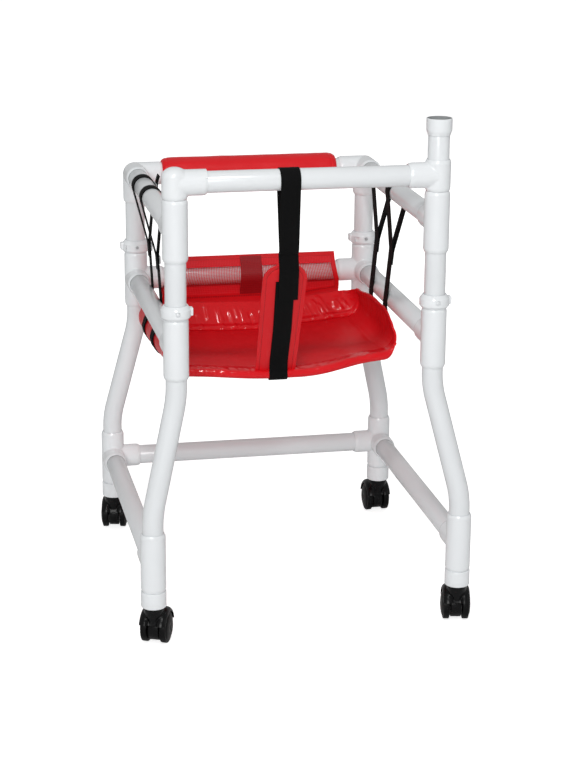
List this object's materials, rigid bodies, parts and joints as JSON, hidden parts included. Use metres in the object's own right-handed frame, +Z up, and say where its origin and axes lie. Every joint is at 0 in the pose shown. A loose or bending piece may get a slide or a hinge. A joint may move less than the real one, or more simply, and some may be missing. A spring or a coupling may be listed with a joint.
{
  "type": "pediatric walker",
  "caption": "Child's walker: white pipe frame on twin-wheel swivel casters, with a height-adjustable upper frame, a red sling seat, a padded rear rail and black webbing straps.",
  "frame": {"origin": "middle of the footprint on the floor", "axes": "+Z up, -Y is the front that the child faces, +X is the side with the taller mast"},
  "size_m": [0.5526, 0.5968, 0.8233],
  "materials": {
    "white_pvc": "glossy moulded and extruded PVC",
    "grey_nylon": "moulded",
    "black_nylon": "semi-gloss moulded",
    "red_vinyl": "vinyl-coated cloth",
    "red_mesh": "vinyl-coated mesh",
    "black_webbing": "woven polypropylene"
  },
  "bodies": {
    "lower_frame": {"back_mesh": "red_mesh", "base_rail_left": "white_pvc", "base_rail_right": "white_pvc", "base_tee_front_left": "white_pvc", "base_tee_front_right": "white_pvc", "base_tee_rear_left": "white_pvc", "base_tee_rear_right": "white_pvc", "collar_front_left": "white_pvc", "collar_front_right": "white_pvc", "collar_rear_left": "white_pvc", "collar_rear_right": "white_pvc", "front_strap": "black_webbing", "leg_front_left": "white_pvc", "leg_front_right": "white_pvc", "leg_rear_left": "white_pvc", "leg_rear_right": "white_pvc", "lower_rail_left": "white_pvc", "lower_rail_right": "white_pvc", "lower_tee_front_left": "white_pvc", "lower_tee_front_right": "white_pvc", "lower_tee_rear_left": "white_pvc", "lower_tee_rear_right": "white_pvc", "rear_base_rail": "white_pvc", "rear_lower_rail": "white_pvc", "seat_sling": "red_vinyl", "side_strap_front": "black_webbing", "side_strap_rear": "black_webbing"},
    "upper_frame": {"back_pad": "red_vinyl", "front_elbow": "white_pvc", "front_rail": "white_pvc", "mast_socket": "white_pvc", "mast_tee": "white_pvc", "rear_elbow_rear_left": "white_pvc", "rear_elbow_rear_right": "white_pvc", "rear_top_rail": "white_pvc", "upper_rail_left": "white_pvc", "upper_rail_right": "white_pvc", "upper_tee_front_left": "white_pvc", "upper_tee_front_right": "white_pvc", "upright_front_left": "white_pvc", "upright_front_right": "white_pvc", "upright_rear_left": "white_pvc", "upright_rear_right": "white_pvc"},
    "lock_pin_front_left": {"lock_pin_front_left": "grey_nylon"},
    "lock_pin_front_right": {"lock_pin_front_right": "grey_nylon"},
    "lock_pin_rear_left": {"lock_pin_rear_left": "grey_nylon"},
    "lock_pin_rear_right": {"lock_pin_rear_right": "grey_nylon"},
    "caster_front_left": {"caster_body_front_left": "black_nylon"},
    "wheel_front_left_left": {"caster_wheel_front_left_left": "black_nylon"},
    "wheel_front_left_right": {"caster_wheel_front_left_right": "black_nylon"},
    "caster_front_right": {"caster_body_front_right": "black_nylon"},
    "wheel_front_right_left": {"caster_wheel_front_right_left": "black_nylon"},
    "wheel_front_right_right": {"caster_wheel_front_right_right": "black_nylon"},
    "caster_rear_left": {"caster_body_rear_left": "black_nylon"},
    "wheel_rear_left_left": {"caster_wheel_rear_left_left": "black_nylon"},
    "wheel_rear_left_right": {"caster_wheel_rear_left_right": "black_nylon"},
    "caster_rear_right": {"caster_body_rear_right": "black_nylon"},
    "wheel_rear_right_left": {"caster_wheel_rear_right_left": "black_nylon"},
    "wheel_rear_right_right": {"caster_wheel_rear_right_right": "black_nylon"}
  },
  "joints": [
    {"name": "height_adjust", "type": "slide", "parent": "lower_frame", "child": "upper_frame", "axis": [0, 0, 1], "range_m": [-0.025, 0.0375], "deforming": ["front_strap", "side_strap_front", "side_strap_rear"]},
    {"name": "lock_pin_front_left_pull", "type": "slide", "parent": "lower_frame", "child": "lock_pin_front_left", "axis": [0, -1, 0], "range_m": [0, 0.004], "stiffness_N_per_m": 300},
    {"name": "lock_pin_front_right_pull", "type": "slide", "parent": "lower_frame", "child": "lock_pin_front_right", "axis": [0, -1, 0], "range_m": [0, 0.004], "stiffness_N_per_m": 300},
    {"name": "lock_pin_rear_left_pull", "type": "slide", "parent": "lower_frame", "child": "lock_pin_rear_left", "axis": [0, -1, 0], "range_m": [0, 0.004], "stiffness_N_per_m": 300},
    {"name": "lock_pin_rear_right_pull", "type": "slide", "parent": "lower_frame", "child": "lock_pin_rear_right", "axis": [0, -1, 0], "range_m": [0, 0.004], "stiffness_N_per_m": 300},
    {"name": "caster_front_left_swivel", "type": "hinge", "parent": "lower_frame", "child": "caster_front_left", "pos_m": [-0.25108, -0.27691, 0.065], "axis": [0, 0, 1], "continuous": true},
    {"name": "wheel_front_left_left_spin", "type": "hinge", "parent": "caster_front_left", "child": "wheel_front_left_left", "pos_m": [-0.24538, -0.26412, 0.025], "axis": [0.9135, -0.4067, 0], "continuous": true},
    {"name": "wheel_front_left_right_spin", "type": "hinge", "parent": "caster_front_left", "child": "wheel_front_left_right", "pos_m": [-0.24538, -0.26412, 0.025], "axis": [0.9135, -0.4067, 0], "continuous": true},
    {"name": "caster_front_right_swivel", "type": "hinge", "parent": "lower_frame", "child": "caster_front_right", "pos_m": [0.24592, -0.27691, 0.065], "axis": [0, 0, 1], "continuous": true},
    {"name": "wheel_front_right_left_spin", "type": "hinge", "parent": "caster_front_right", "child": "wheel_front_right_left", "pos_m": [0.24859, -0.26316, 0.025], "axis": [0.9816, -0.1908, 0], "continuous": true},
    {"name": "wheel_front_right_right_spin", "type": "hinge", "parent": "caster_front_right", "child": "wheel_front_right_right", "pos_m": [0.24859, -0.26316, 0.025], "axis": [0.9816, -0.1908, 0], "continuous": true},
    {"name": "caster_rear_left_swivel", "type": "hinge", "parent": "lower_frame", "child": "caster_rear_left", "pos_m": [-0.25108, 0.25009, 0.065], "axis": [0, 0, 1], "continuous": true},
    {"name": "wheel_rear_left_left_spin", "type": "hinge", "parent": "caster_rear_left", "child": "wheel_rear_left_left", "pos_m": [-0.24817, 0.26379, 0.025], "axis": [0.9781, -0.2079, 0], "continuous": true},
    {"name": "wheel_rear_left_right_spin", "type": "hinge", "parent": "caster_rear_left", "child": "wheel_rear_left_right", "pos_m": [-0.24817, 0.26379, 0.025], "axis": [0.9781, -0.2079, 0], "continuous": true},
    {"name": "caster_rear_right_swivel", "type": "hinge", "parent": "lower_frame", "child": "caster_rear_right", "pos_m": [0.24592, 0.25009, 0.065], "axis": [0, 0, 1], "continuous": true},
    {"name": "wheel_rear_right_left_spin", "type": "hinge", "parent": "caster_rear_right", "child": "wheel_rear_right_left", "pos_m": [0.24568, 0.26409, 0.025], "axis": [0.9998, 0.0175, 0], "continuous": true},
    {"name": "wheel_rear_right_right_spin", "type": "hinge", "parent": "caster_rear_right", "child": "wheel_rear_right_right", "pos_m": [0.24568, 0.26409, 0.025], "axis": [0.9998, 0.0175, 0], "continuous": true}
  ]
}
